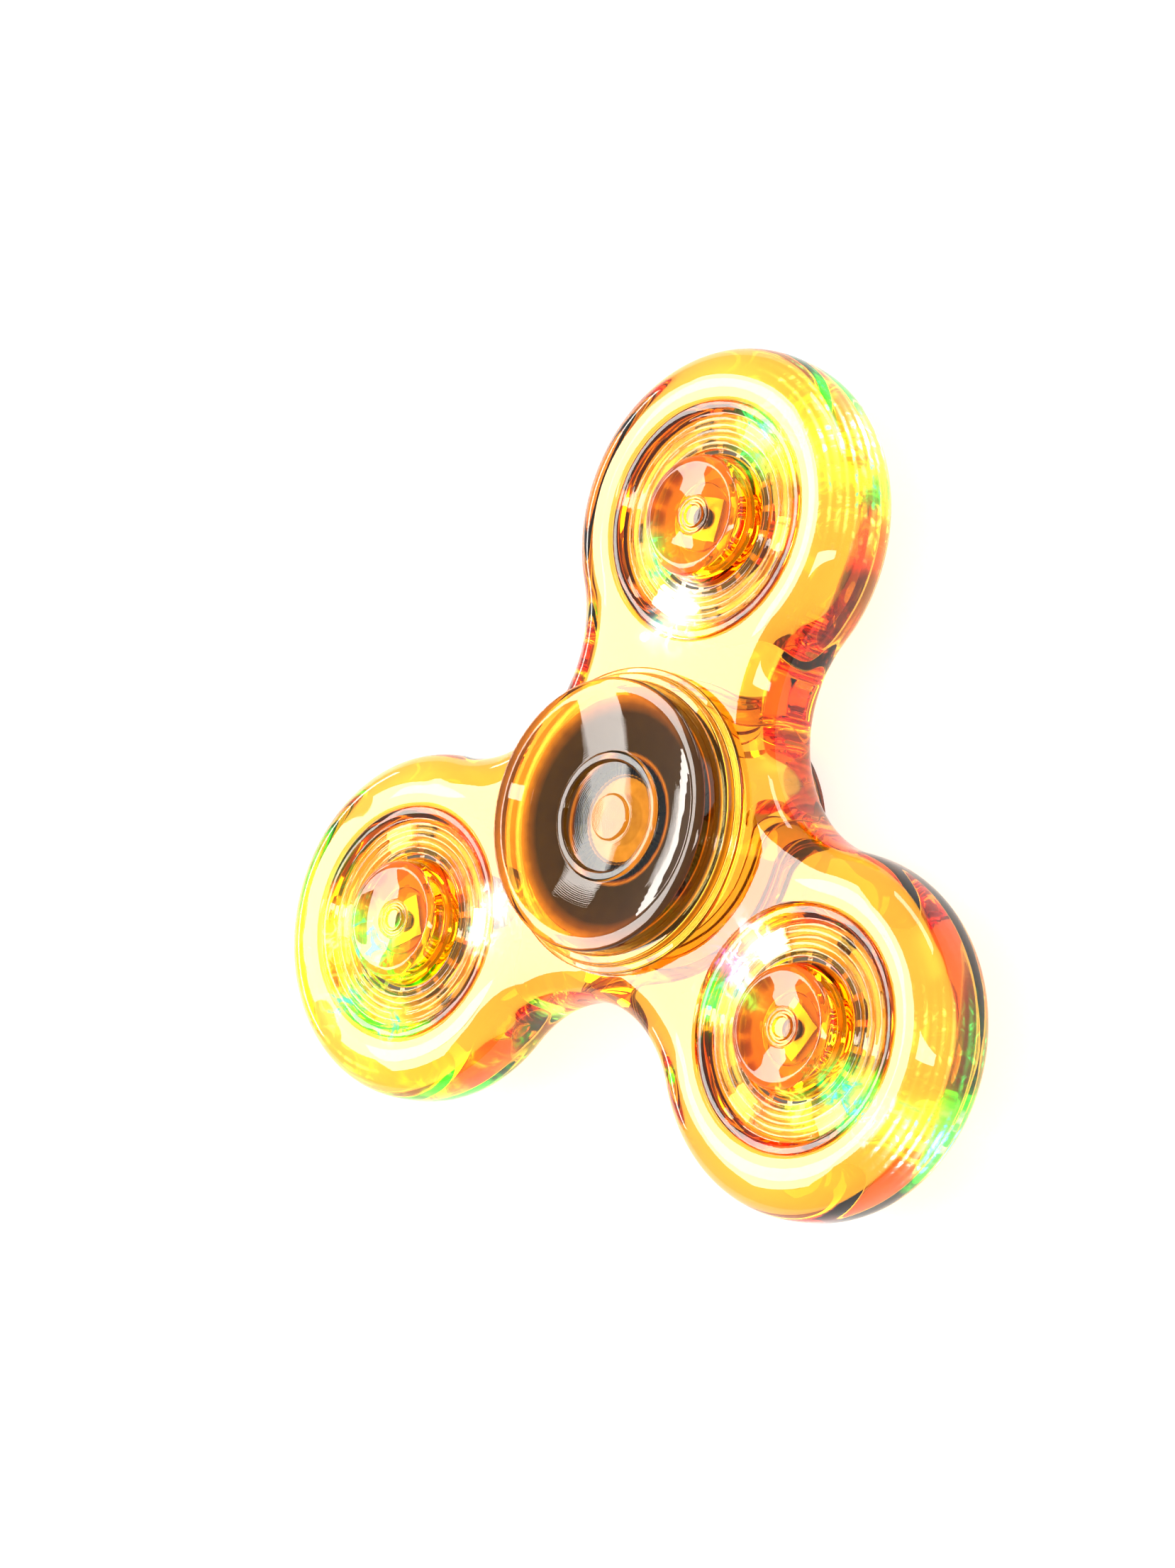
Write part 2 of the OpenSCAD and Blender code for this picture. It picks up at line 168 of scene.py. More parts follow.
# %% Table of the glows
# Each is: pod, angle and distance from the pod's middle, spread, colour, strength. Lengths are in mm.
GREEN, CYAN, RED = (0.02, 1.0, 0.16), (0.25, 0.9, 1.0), (1.0, 0.08, 0.02)
WHITE_BLUE, VIOLET, LIME = (0.7, 0.85, 1.0), (0.5, 0.35, 1.0), (0.45, 1.0, 0.1)
GLOWS = (
    (0, 66, 8.6, 1.5, GREEN, 1.0), (0, 50, 9.6, 1.2, LIME, 0.8), (0, 62, 13.6, 2.2, GREEN, 0.8),
    (0, 36, 14.4, 2.2, GREEN, 1.0), (0, 18, 15.0, 2.0, GREEN, 0.8), (0, 40, 15.0, 1.4, CYAN, 1.6),
    (0, 8, 9.4, 0.8, RED, 1.2), (0, 0, 14.6, 0.9, RED, 1.2), (0, -30, 14.6, 1.6, RED, 0.35),
    (0, -96, 6.6, 0.9, WHITE_BLUE, 1.2), (0, -92, 8.6, 1.0, WHITE_BLUE, 1.0), (0, -102, 9.9, 0.8, CYAN, 1.0),
    (0, -135, 5.3, 1.0, GREEN, 1.4), (0, -152, 5.6, 0.6, CYAN, 0.8),
    (1, -125, 2.8, 1.3, GREEN, 1.3), (1, 190, 4.8, 1.0, GREEN, 0.7), (1, -160, 9.2, 1.5, LIME, 0.9),
    (1, -120, 9.6, 1.2, GREEN, 1.0), (1, -85, 9.2, 1.0, GREEN, 0.9),
    (1, 180, 14.6, 2.4, GREEN, 0.8), (1, -140, 14.6, 2.2, GREEN, 0.9), (1, -100, 14.2, 1.8, LIME, 0.7),
    (1, 20, 9.8, 0.9, WHITE_BLUE, 1.2), (1, 4, 8.8, 0.8, CYAN, 1.1), (1, 45, 6.5, 0.9, RED, 0.9),
    (1, 70, 9.2, 0.9, RED, 0.5),
    (2, -32, 7.6, 1.2, GREEN, 1.4), (2, -28, 9.8, 1.1, GREEN, 1.4), (2, -26, 12.4, 1.1, CYAN, 1.3),
    (2, -22, 14.9, 1.3, GREEN, 1.4), (2, 10, 15.0, 2.0, GREEN, 0.6), (2, -26, 14.8, 1.2, CYAN, 1.8),
    (2, 138, 8.6, 0.9, WHITE_BLUE, 1.2), (2, 155, 8.8, 0.8, VIOLET, 1.2), (2, 178, 9.0, 0.8, GREEN, 1.2),
    (2, 165, 6.6, 0.7, CYAN, 0.9), (2, -72, 6.2, 0.7, LIME, 1.1), (2, -104, 7.4, 0.8, RED, 1.0),
)
EDGE_GLOW_FROM, STREAK_WIDTH, STREAK_SHARPNESS = 12.0, 1.05, 7
print("glows:", len(GLOWS))


def caught_light(points):
    """Colour at each point: the sum over the glows of colour x strength x exp(-d^2 / 2 spread^2), where d
    is the distance in the plane from the glow's middle. Out in the body's edge it lies in thin lines along
    the outline: there it is multiplied by ((1 + cos(2 pi (r - z) / width)) / 2)^sharpness."""
    colour = np.zeros((len(points), 4))
    colour[:, 3] = 1
    for pod, angle, distance, spread, tint, strength in GLOWS:
        middle = POD_MIDDLES[pod] + on_circle(distance, angle)
        apart = ((points[:, :2] - middle) ** 2).sum(1)
        light = strength * np.exp(-apart / (2 * spread ** 2))
        if distance > EDGE_GLOW_FROM:
            out = np.linalg.norm(points[:, :2] - POD_MIDDLES[pod], axis=1) - points[:, 2]
            light *= (0.5 + 0.5 * np.cos(2 * np.pi * out / STREAK_WIDTH)) ** STREAK_SHARPNESS
        colour[:, :3] += light[:, None] * np.array(tint)
    return colour


# %% Make a piece
MERGE_GAP = 0.002


def make_piece(name, surface, body, node, material):
    """Mesh from (points in mm, faces), merged where it meets itself, with its faces outwards and its light
    caught."""
    points, faces = surface
    mesh = bpy.data.meshes.new(name)
    mesh.from_pydata((points * MM).tolist(), [], faces if isinstance(faces, list) else faces.tolist())
    work = bmesh.new()
    work.from_mesh(mesh)
    bmesh.ops.remove_doubles(work, verts=work.verts, dist=MERGE_GAP * MM)
    bmesh.ops.recalc_face_normals(work, faces=work.faces)
    open_edges = sum(not edge.is_manifold for edge in work.edges)
    work.to_mesh(mesh)
    work.free()
    place = np.empty(3 * len(mesh.vertices))
    mesh.vertices.foreach_get("co", place)
    light = mesh.color_attributes.new("caught_light", "FLOAT_COLOR", "POINT")
    light.data.foreach_set("color", caught_light(place.reshape(-1, 3) / MM).ravel())
    mesh.polygons.foreach_set("use_smooth", np.ones(len(mesh.polygons), bool))
    piece = bpy.data.objects.new(name, mesh)
    bpy.context.scene.collection.objects.link(piece)
    flat = piece.modifiers.new("flat faces", "WEIGHTED_NORMAL")
    flat.mode = "FACE_AREA"
    mesh.materials.append(material)
    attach(piece, body)
    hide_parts(node)
    print(f"{name}: {len(mesh.vertices)} points, {len(mesh.polygons)} faces, {open_edges} open edges")
    return piece


# %% [markdown]
# ## Finishes
# The plastic is clear polycarbonate dyed amber. Its colour comes from its depth: thin walls are yellow and
# the thick edges orange, so the colour is an absorbing volume, not a painted surface. Its skin has the
# faint waviness and the fine wipe marks of a moulding, through groups of nodes that every clear piece
# shares. Lamps have to reach what is inside, so for rays on their way to a lamp the plastic is simply
# tinted.

# %% Node helpers
def node_group(name, inputs, outputs):
    """Empty shader node group with named sockets, given as {name: (socket type, value)}."""
    group = bpy.data.node_groups.new(name, "ShaderNodeTree")
    for label, (kind, value) in inputs.items():
        group.interface.new_socket(name=label, in_out="INPUT", socket_type=kind).default_value = value
    for label, kind in outputs.items():
        group.interface.new_socket(name=label, in_out="OUTPUT", socket_type=kind)
    return group, group.nodes.new("NodeGroupInput"), group.nodes.new("NodeGroupOutput")


def add(tree, kind, links=(), **values):
    """Adds a node, sets its properties and its input values, and links its inputs."""
    made = tree.nodes.new(kind)
    for key, value in values.items():
        if hasattr(made, key):
            setattr(made, key, value)
        else:
            made.inputs[key.replace("_", " ")].default_value = value
    for socket, source in dict(links).items():
        tree.links.new(source, made.inputs[socket])
    return made


# %% Skin of a moulding: slow waves and fine wipe marks
skin, skin_in, skin_out = node_group(
    "moulded_skin",
    {"Wave Size": ("NodeSocketFloat", 90.0), "Wave Height": ("NodeSocketFloat", 0.3),
     "Mark Size": ("NodeSocketFloat", 900.0), "Gloss": ("NodeSocketFloat", 0.02),
     "Wear": ("NodeSocketFloat", 0.06)},
    {"Roughness": "NodeSocketFloat", "Height": "NodeSocketFloat"},
)
skin_place = add(skin, "ShaderNodeTexCoord")
waves = add(skin, "ShaderNodeTexNoise", {"Vector": skin_place.outputs["Object"],
                                         "Scale": skin_in.outputs["Wave Size"]}, Detail=1.5)
wave_height = add(skin, "ShaderNodeMath", {0: waves.outputs["Fac"], 1: skin_in.outputs["Wave Height"]},
                  operation="MULTIPLY")
marks = add(skin, "ShaderNodeTexNoise", {"Vector": skin_place.outputs["Object"],
                                         "Scale": skin_in.outputs["Mark Size"]}, Detail=4.0, Distortion=1.2)
MARK_SPARSENESS = 4.0
mark_part = add(skin, "ShaderNodeMath", {0: marks.outputs["Fac"]}, operation="POWER")
mark_part.inputs[1].default_value = MARK_SPARSENESS
rough = add(skin, "ShaderNodeMath", {0: mark_part.outputs[0], 1: skin_in.outputs["Wear"],
                                     2: skin_in.outputs["Gloss"]}, operation="MULTIPLY_ADD")
skin.links.new(rough.outputs[0], skin_out.inputs["Roughness"])
skin.links.new(wave_height.outputs[0], skin_out.inputs["Height"])
print("skin group:", len(skin.nodes), "nodes")

# %% Sparkle: caught light broken into streaks and specks
SPECKS_FROM, SPECKS_FULL, GLOW_TINT_STRENGTH = 0.52, 0.72, 2.2
sparkle, sparkle_in, sparkle_out = node_group(
    "sparkle",
    {"Light": ("NodeSocketColor", (0, 0, 0, 1)), "Size": ("NodeSocketFloat", 420.0),
     "Even Glow": ("NodeSocketFloat", 0.1), "Clear": ("NodeSocketColor", (1, 0.97, 0.86, 1))},
    {"Color": "NodeSocketColor", "Tint": "NodeSocketColor"},
)
sparkle_place = add(sparkle, "ShaderNodeTexCoord")
streaks = add(sparkle, "ShaderNodeTexNoise", {"Vector": sparkle_place.outputs["Object"],
                                              "Scale": sparkle_in.outputs["Size"]},
              Detail=3.0, Distortion=2.5)
specks = add(sparkle, "ShaderNodeMapRange", {"Value": streaks.outputs["Fac"]})
specks.inputs["From Min"].default_value = SPECKS_FROM
specks.inputs["From Max"].default_value = SPECKS_FULL
shown = add(sparkle, "ShaderNodeMath", {0: specks.outputs["Result"], 1: sparkle_in.outputs["Even Glow"]},
            operation="ADD")
scaled = add(sparkle, "ShaderNodeVectorMath", {0: sparkle_in.outputs["Light"]}, operation="SCALE")
sparkle.links.new(shown.outputs[0], scaled.inputs["Scale"])
sparkle.links.new(scaled.outputs["Vector"], sparkle_out.inputs["Color"])
bright = add(sparkle, "ShaderNodeVectorMath", {0: scaled.outputs["Vector"]}, operation="LENGTH")
# Painted light: where the caught light is bright, the plastic's base colour takes the light's colour.
glow_share = add(sparkle, "ShaderNodeMath", {0: bright.outputs["Value"]}, operation="MULTIPLY", use_clamp=True)
glow_share.inputs[1].default_value = GLOW_TINT_STRENGTH
tinted = add(sparkle, "ShaderNodeMix", {"Factor": glow_share.outputs[0], 6: sparkle_in.outputs["Clear"],
                                        7: sparkle_in.outputs["Light"]}, data_type="RGBA")
sparkle.links.new(tinted.outputs[2], sparkle_out.inputs["Tint"])
print("sparkle group:", len(sparkle.nodes), "nodes")


# %% New material with a Principled shader, a placed group and a bump
SKIN_DEPTH = 0.0006


def new_material(name):
    """Material with its tree, its Principled shader and its output."""
    material = bpy.data.materials.new(name)
    material.use_nodes = True
    tree = material.node_tree
    return material, tree, tree.nodes["Principled BSDF"], tree.nodes["Material Output"]


def place_group(tree, group, links=(), **values):
    """Places a group in a material, sets its named sockets and links them."""
    placed = tree.nodes.new("ShaderNodeGroup")
    placed.node_tree = group
    for key, value in values.items():
        placed.inputs[key.replace("_", " ")].default_value = value
    for socket, source in dict(links).items():
        tree.links.new(source, placed.inputs[socket])
    return placed


def bump(tree, height):
    """Bump of a moulding's skin, whose height of 1 stands for SKIN_DEPTH metres."""
    made = add(tree, "ShaderNodeBump", {"Height": height})
    made.inputs["Distance"].default_value = SKIN_DEPTH
    made.inputs["Strength"].default_value = 1.0
    return made


# %% Clear amber plastic
AMBER_PASSED, LAMP_TINT = (0.99, 0.785, 0.02, 1.0), (0.98, 0.93, 0.8, 1.0)
PLASTIC_IOR, SKIN_GLOSS, SKIN_WEAR = 1.5, 0.01, 0.05


def clear_amber(name, density, glow, wave_height=0.3):
    """Dyed clear plastic: density is the dye's strength per metre, glow how brightly it shows caught
    light."""
    material, tree, plastic, output = new_material(name)
    surface = place_group(tree, skin, Wave_Height=wave_height, Gloss=SKIN_GLOSS, Wear=SKIN_WEAR)
    tree.links.new(surface.outputs["Roughness"], plastic.inputs["Roughness"])
    wavy = bump(tree, surface.outputs["Height"])
    tree.links.new(wavy.outputs["Normal"], plastic.inputs["Normal"])
    plastic.inputs["Transmission Weight"].default_value = 1.0
    plastic.inputs["Metallic"].default_value = 0.0
    plastic.inputs["IOR"].default_value = PLASTIC_IOR
    light = add(tree, "ShaderNodeAttribute", attribute_name="caught_light")
    shine = place_group(tree, sparkle, {"Light": light.outputs["Color"]})
    # The base colour is the clear plastic's colour, with the caught light's colour painted in where that light
    # is bright; the emission is painted glow.
    tree.links.new(shine.outputs["Tint"], plastic.inputs["Base Color"])
    tree.links.new(shine.outputs["Color"], plastic.inputs["Emission Color"])
    plastic.inputs["Emission Strength"].default_value = glow
    path = add(tree, "ShaderNodeLightPath")
    see_through = add(tree, "ShaderNodeBsdfTransparent")
    see_through.inputs["Color"].default_value = LAMP_TINT
    mixed = add(tree, "ShaderNodeMixShader", {0: path.outputs["Is Shadow Ray"], 1: plastic.outputs["BSDF"],
                                              2: see_through.outputs["BSDF"]})
    tree.links.new(mixed.outputs["Shader"], output.inputs["Surface"])
    dye = add(tree, "ShaderNodeVolumeAbsorption")
    dye.inputs["Color"].default_value = AMBER_PASSED
    dye.inputs["Density"].default_value = density
    tree.links.new(dye.outputs["Volume"], output.inputs["Volume"])
    return material, tree, plastic, surface


# %% The clear plastics: thin pieces take a stronger dye than thick ones
clear_body, *_ = clear_amber("clear amber body", 340.0, 6.0)
clear_cup, *_ = clear_amber("clear amber cup", 650.0, 6.5, wave_height=1.3)
clear_cover, *_ = clear_amber("clear amber cover", 2200.0, 6.5, wave_height=1.3)
clear_button, *_ = clear_amber("clear amber button", 1000.0, 6.0, wave_height=0.7)
clear_cap, cap_tree, cap_plastic, cap_skin = clear_amber("clear amber cap", 520.0, 2.0)
print("clear plastics made")

# %% [markdown]
# The dish of a cap shows the fine circles that the turned mould left in it. They are waves of the distance
# from the spinner's axis, a few to the millimetre, added to the moulded skin's height.

# %% Turning marks in the caps
MARK_PITCH, MARKS_END, MARKS_FULL, MARK_HEIGHT = 0.16, 8.6, 8.2, 0.0012
cap_place = add(cap_tree, "ShaderNodeTexCoord")
across = add(cap_tree, "ShaderNodeVectorMath", {0: cap_place.outputs["Object"]}, operation="MULTIPLY")
across.inputs[1].default_value = (1.0, 1.0, 0.0)
distance = add(cap_tree, "ShaderNodeVectorMath", {0: across.outputs["Vector"]}, operation="LENGTH")
circles = add(cap_tree, "ShaderNodeMath", {0: distance.outputs["Value"]}, operation="MULTIPLY")
circles.inputs[1].default_value = 2 * np.pi / (MARK_PITCH * MM)
wave = add(cap_tree, "ShaderNodeMath", {0: circles.outputs[0]}, operation="SINE")
inside = add(cap_tree, "ShaderNodeMapRange", {"Value": distance.outputs["Value"]})
inside.inputs["From Min"].default_value = MARKS_END * MM
inside.inputs["From Max"].default_value = MARKS_FULL * MM
marked = add(cap_tree, "ShaderNodeMath", {0: wave.outputs[0], 1: inside.outputs["Result"]},
             operation="MULTIPLY")
cap_height = add(cap_tree, "ShaderNodeMath", {0: marked.outputs[0], 2: cap_skin.outputs["Height"]},
                 operation="MULTIPLY_ADD")
cap_height.inputs[1].default_value = MARK_HEIGHT
cap_bump = bump(cap_tree, cap_height.outputs[0])
cap_tree.links.new(cap_bump.outputs["Normal"], cap_plastic.inputs["Normal"])
print("turning marks every", MARK_PITCH, "mm")

# %% [markdown]
# ## The body
# The body is moulded in one piece. Its outline is three round lobes joined by hollow arcs that touch them,
# and its edge is rounder than a plain fillet: a superellipse, flat on top and blunt at the nose. The flat
# faces have a hub bore and three wells. The faces with holes are filled with triangles between the rounded
# rims.

# %% Outline and edge of the body
EDGE_DEPTH, EDGE_POWER, EDGE_STEPS = 4.0, 2.6, 26
LOBE_POINTS, WAIST_POINTS = 90, 36
WAIST_TURN = np.degrees(np.arctan2(WAIST_DISTANCE * np.sin(np.pi / LOBES),
                                   WAIST_DISTANCE * np.cos(np.pi / LOBES) - POD_DISTANCE))
WAIST_HALF = WAIST_TURN - 180 / LOBES


def outline(inset):
    """Outline moved inwards by inset: for each lobe an arc of lobe radius - inset round the pod's middle,
    then an arc of waist radius + inset round the waist's middle, which runs the other way."""
    along_lobe = np.arange(LOBE_POINTS) / LOBE_POINTS
    along_waist = np.arange(WAIST_POINTS) / WAIST_POINTS
    arcs = []
    for angle, middle in zip(POD_ANGLES, POD_MIDDLES):
        arcs.append(middle + on_circle(LOBE_R - inset, angle - WAIST_TURN + 2 * WAIST_TURN * along_lobe))
        waist_angle = angle + 180 / LOBES
        arcs.append(on_circle(WAIST_DISTANCE, waist_angle) + on_circle(
            WAIST_R + inset, waist_angle + WAIST_HALF * (1 - 2 * along_waist) - 180))
    return np.concatenate(arcs)


def edge_section():
    """Superellipse edge as (inset, z): inset = d (1 - cos^(2/p) t), z = h sin^(2/p) t, for t from 0 to
    90."""
    t = np.radians(np.linspace(0, 90, EDGE_STEPS + 1))
    power = 2 / EDGE_POWER
    inset = EDGE_DEPTH * (1 - np.clip(np.cos(t), 0, 1) ** power)
    height = FACE_Z * np.sin(t) ** power
    upper = np.stack([inset, height], -1)
    return np.concatenate([upper[::-1] * (1, -1), upper[1:]])


# %% Walls of the holes and flat faces
HUB_RIM, WELL_RIM, SEAT_RIM = 0.12, 0.35, 0.1
# Known fault: rings this wide reach past the flat faces. Where they do, they overhang the rounded edge, by some
# 0.05 mm at the wells and 0.2 mm at the hub by the waists, and their outer edges stay open.
RING_WIDTH = 2.0
ABOVE, BELOW = (30, 9, 0), (30, -9, 0)
DROPPED = ROUND_STEPS + 1


def hole_wall(corners, middle):
    """Open wall of a hole, revolved round its own middle, with a flat ring on each face. The first and the
    last corner only give the section its direction and are dropped. Returns points, faces and the two outer
    rings."""
    section = rounded(corners)[DROPPED:-DROPPED]
    points = rings(section, middle, TURNS)
    return points.reshape(-1, 3), grid_faces(len(section), TURNS, False), points[0], points[-1]


def flat_face(loops):
    """Triangles between an outline and round holes at one height: the triangles of a constrained Delaunay
    mesh whose middles lie outside every hole."""
    places = np.concatenate(loops)
    starts = np.cumsum([0] + [len(loop) for loop in loops])
    edges = [(a, a + 1 if a + 1 < last else first)
             for first, last in zip(starts, starts[1:]) for a in range(first, last)]
    made = delaunay_2d_cdt([Vector(p[:2]) for p in places], edges, [list(range(starts[1]))], 1, 1e-6)
    flat = np.array([tuple(v) for v in made[0]])
    triangles = np.array(made[2])
    middles = flat[triangles].mean(1)
    keep = np.ones(len(triangles), bool)
    for hole in loops[1:]:
        centre = hole[:, :2].mean(0)
        radius = np.linalg.norm(hole[0, :2] - centre)
        keep &= np.linalg.norm(middles - centre, axis=1) > radius
    return np.column_stack([flat, np.full(len(flat), places[0, 2])]), triangles[keep]


def joined(parts):
    """Several (points, faces) in one."""
    points, faces, start = [], [], 0
    for place, quads in parts:
        points.append(place)
        faces += (np.asarray(quads) + start).tolist()
        start += len(place)
    return np.concatenate(points), faces


# %% Surface of the body
HUB_HOLE = (ABOVE, (HUB_BORE_R + RING_WIDTH, FACE_Z, 0), (HUB_BORE_R, FACE_Z, HUB_RIM),
            (HUB_BORE_R, -FACE_Z, HUB_RIM), (HUB_BORE_R + RING_WIDTH, -FACE_Z, 0), BELOW)
WELL = (ABOVE, (WELL_R + RING_WIDTH, FACE_Z, 0), (WELL_R, FACE_Z, WELL_RIM), (WELL_R, SEAT_Z, SEAT_RIM),
        (LIP_R, SEAT_Z, SEAT_RIM), (LIP_R, -FACE_Z, SEAT_RIM), (LIP_R + RING_WIDTH, -FACE_Z, 0), BELOW)


def body_surface():
    """Side, flat faces and holes of the body in one surface."""
    sides = np.stack([np.column_stack([outline(inset), np.full(len(outline(inset)), z)])
                      for inset, z in edge_section()])
    parts = [(sides.reshape(-1, 3), grid_faces(len(sides), sides.shape[1], False))]
    fronts, backs = [sides[-1]], [sides[0]]
    for corners, middle in [(HUB_HOLE, (0, 0))] + [(WELL, m) for m in POD_MIDDLES]:
        points, faces, front, back = hole_wall(corners, middle)
        parts.append((points, faces))
        fronts.append(front)
        backs.append(back)
    return joined(parts + [flat_face(fronts), flat_face(backs)])


# %% Make the body
make_piece("spinner_body_clear", body_surface(), BODY, "spinner_body", clear_body)

# %% [markdown]
# ## Finger caps
# Each cap is a turned shape: a stepped rim, a crest and a dish with a raised ring and a small flat disc.
# Crest and steps fall outwards a little, so a lamp lights only the half of each ring that leans towards it.
# One section makes both; the back cap is the same section upside down, with a pin in place of the sleeve.

# %% Section of a cap
CAP_TOP_Z, DISH_BALL_R, DISH_FLOOR_Z = 8.2, 28.04, 6.2
CREST_R, CREST_FALL, SEEN_R, SEEN_Z = 10.4, 0.08, 10.9, 4.25
DISH_STEPS, CAP_TURNS = 16, 192


def dish_height(r):
    """Height of the dish: its floor + R - sqrt(R^2 - r^2), a shallow ball."""
    return DISH_FLOOR_Z + DISH_BALL_R - np.sqrt(DISH_BALL_R ** 2 - r ** 2)


def dish(first, last, count):
    """Corners along the dish from one distance to another, hardly rounded, so the dish stays smooth."""
    radius = np.linspace(first, last, count)
    return [(r, z, 0.02) for r, z in zip(radius, dish_height(radius))]


CAP_FRONT = (
    [(0, 6.5, 0), (1.9, 6.5, 0.12)] + dish(2.0, 4.5, 8)
    + [(4.6, dish_height(4.6), 0.02), (4.72, 6.97, 0.15), (5.38, 6.99, 0.15), (5.5, dish_height(5.5), 0.05)]
    + dish(5.7, CREST_R - 0.2, DISH_STEPS)
    + [(CREST_R + 0.05, CAP_TOP_Z, 0.15), (11.5, CAP_TOP_Z - CREST_FALL, 0.3), (11.5, 5.94, 0.2),
       (12.3, 5.88, 0.2), (12.3, 5.03, 0.15), (12.9, 4.98, 0.15), (12.9, 4.45, 0.15),
       (SEEN_R, SEEN_Z, 0.01), (5.5, 3.7, 0.1), (5.5, 3.5, 0.05)]
)
SLEEVE = [(3.95, 3.5, 0.1), (3.95, -3.0, 0.1), (2.55, -3.0, 0.1), (2.55, 1.6, 0.1), (3.8, 3.2, 0.05),
          (0, 3.2, 0)]
PIN = [(2.5, 3.5, 0.1), (2.5, -2.9, 0.1), (0, -2.9, 0)]
front_section = rounded(CAP_FRONT + SLEEVE)
back_section = rounded(CAP_FRONT + PIN) * (1, -1)
cap_front = make_piece("finger_cap_front_clear", revolve(front_section, turns=CAP_TURNS), "finger_caps",
                       "finger_cap_front", clear_cap)
cap_back = make_piece("finger_cap_back_clear", revolve(back_section, turns=CAP_TURNS), "finger_caps",
                      "finger_cap_back", clear_cap)

# %% [markdown]
# ## Pods
# A pod is a clear cup in the lobe's well, a clear cover snapped onto it and a button that stands up through
# the cover. All are turned shapes round the pod's middle, with the thin lips and soft corners of thin
# mouldings.

# %% Sections of the cup, the cover and the button
CUP = [(0, -3.5, 0), (10.15, -3.5, 0.15), (10.15, 2.2, 0.03), (9.15, 2.2, 0.03), (9.15, -3.0, 0.2),
       (6.75, -3.0, 0.15), (6.75, 1.6, 0.1), (5.95, 1.6, 0.1), (5.95, -3.0, 0.1), (0, -3.0, 0)]
RIB_PITCH, RIB_HEIGHT = 1.03, 0.10


def ribbed(first, last, level, count=34):
    """Ribs across the cover: z = level + height cos(2 pi (r - first) / pitch)."""
    radius = np.linspace(first, last, count)
    return [(r, level + RIB_HEIGHT * np.cos(2 * np.pi * (r - first) / RIB_PITCH), 0.01) for r in radius]


COVER = ([(9.15, 2.22, 0.03), (10.15, 2.22, 0.03), (10.15, 3.9, 0.22), (9.45, 3.9, 0.2)]
         + ribbed(9.1, 6.0, 3.48) + [(5.95, 3.3, 0.01), (5.95, 3.05, 0.1), (9.15, 3.05, 0.1)])
BUTTON = [(0, 5.3, 0), (1.7, 5.37, 0.1), (3.1, 5.55, 0.4), (4.4, 5.85, 0.2), (4.95, 5.6, 0.25),
          (5.2, 5.05, 0.25), (5.6, 3.0, 0.15), (6.55, 3.0, 0.1), (6.55, 2.6, 0.1), (3.18, 2.6, 0.1),
          (3.18, 3.15, 0.1), (0, 3.15, 0)]
RINGS = ((1.1, 0.8, 0.2), (1.6, 1.3, 0.1))


def with_rings(corners):
    """Button section with its small raised rings, each (outer, inner, height), added from the middle
    outwards."""
    top = corners[0][1]
    raised = []
    for outer, inner, height in RINGS:
        raised += [(inner, top, 0.04), (inner + 0.05, top + height, 0.05),
                   (outer - 0.05, top + height, 0.05), (outer, top, 0.04)]
    return corners[:1] + raised + corners[1:]


buttons = []
for number, middle in enumerate(POD_MIDDLES, 1):
    make_piece(f"pod_cup_{number}_clear", revolve(rounded(CUP), middle), BODY, f"pod_cup_{number}",
               clear_cup)
    make_piece(f"pod_cover_{number}_clear", revolve(rounded(COVER), middle), BODY, f"pod_cover_{number}",
               clear_cover)
    button = make_piece(f"push_button_{number}_clear", revolve(rounded(with_rings(BUTTON)), middle),
                        f"button_{number}", f"push_button_{number}", clear_button)
    buttons.append((button, middle))


# %% [markdown]
# ## Metal, boards and small parts
# What lies under the plastic is small but shows through it: bearing steel made nearly black as painted shade,
# bright balls, pale circuit boards, white light cases with a glowing lens, and black epoxy.

# %% Brushed or turned metal
GRAIN_DEPTH = 0.2
grain, grain_in, grain_out = node_group(
    "metal_grain",
    {"Light": ("NodeSocketColor", (0.6, 0.6, 0.6, 1)), "Dark": ("NodeSocketColor", (0.3, 0.3, 0.3, 1)),
     "Size": ("NodeSocketFloat", 700.0), "Gloss": ("NodeSocketFloat", 0.2)},
    {"Color": "NodeSocketColor", "Roughness": "NodeSocketFloat"},
)
grain_place = add(grain, "ShaderNodeTexCoord")
grain_noise = add(grain, "ShaderNodeTexNoise", {"Vector": grain_place.outputs["Object"],
                                                "Scale": grain_in.outputs["Size"]}, Detail=5.0)
grain_mix = add(grain, "ShaderNodeMix", {"Factor": grain_noise.outputs["Fac"]}, data_type="RGBA")
grain.links.new(grain_in.outputs["Light"], grain_mix.inputs[6])
grain.links.new(grain_in.outputs["Dark"], grain_mix.inputs[7])
grain_rough = add(grain, "ShaderNodeMath", {0: grain_noise.outputs["Fac"], 2: grain_in.outputs["Gloss"]},
                  operation="MULTIPLY_ADD")
grain_rough.inputs[1].default_value = GRAIN_DEPTH
grain.links.new(grain_mix.outputs[2], grain_out.inputs["Color"])
grain.links.new(grain_rough.outputs[0], grain_out.inputs["Roughness"])


def grained(name, light, dark, metallic, gloss=0.15, size=700.0):
    """Material whose colour and gloss vary with a fine grain."""
    material, tree, shader, _ = new_material(name)
    surface = place_group(tree, grain, Light=(*light, 1), Dark=(*dark, 1), Gloss=gloss, Size=size)
    tree.links.new(surface.outputs["Color"], shader.inputs["Base Color"])
    tree.links.new(surface.outputs["Roughness"], shader.inputs["Roughness"])
    shader.inputs["Metallic"].default_value = metallic
    return material
